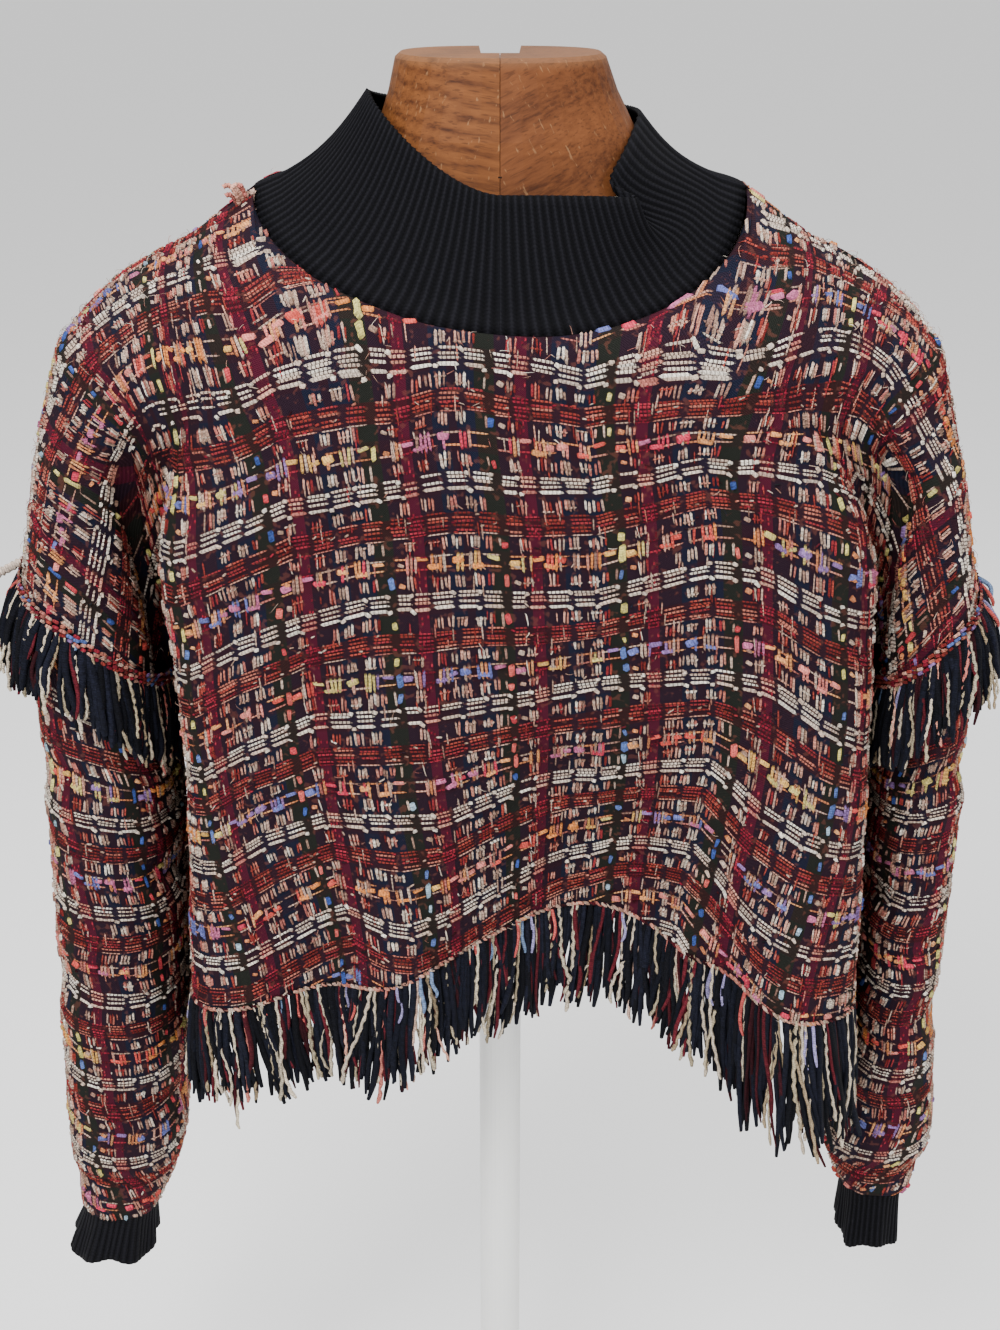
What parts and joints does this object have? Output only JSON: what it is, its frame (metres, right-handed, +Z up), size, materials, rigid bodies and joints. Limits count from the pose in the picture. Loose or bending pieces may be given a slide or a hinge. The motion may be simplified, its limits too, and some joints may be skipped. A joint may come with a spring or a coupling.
{
  "type": "fringe sweater on a dress form",
  "caption": "Cropped slub-tweed pullover with a ribbed funnel collar, ribbed cuffs and raw fringe at hem and armholes, worn by a limbless dress form on a stand.",
  "frame": {"origin": "on the floor, at the middle of the stand's round base", "axes": "+Z up; the garment faces -Y; +X is the wearer's left"},
  "size_m": [0.5555, 0.3, 0.96],
  "materials": {
    "tweed": "multicolour slub and boucle tweed in a small check, matt and uneven",
    "rib": "near-black rib knit, matt",
    "fringe": "loose navy, burgundy and cream yarn ends",
    "oak": "stained oak, satin",
    "linen": "plain linen cover, matt",
    "paint": "off-white paint, satin",
    "dark_steel": "dark satin"
  },
  "bodies": {
    "root": {"front": "tweed", "back": "tweed", "sleeve_right": "tweed", "sleeve_left": "tweed", "collar": "rib", "cuff_right": "rib", "cuff_left": "rib", "hem_fringe_front": "fringe", "hem_fringe_back": "fringe", "armhole_fringe_right": "fringe", "armhole_fringe_left": "fringe", "neck_block_right": "oak", "neck_block_left": "oak", "neck_fitting": "dark_steel", "form_torso": "linen", "form_plate": "dark_steel", "stand_pole": "paint", "stand_socket": "paint", "stand_base": "paint"}
  },
  "joints": []
}
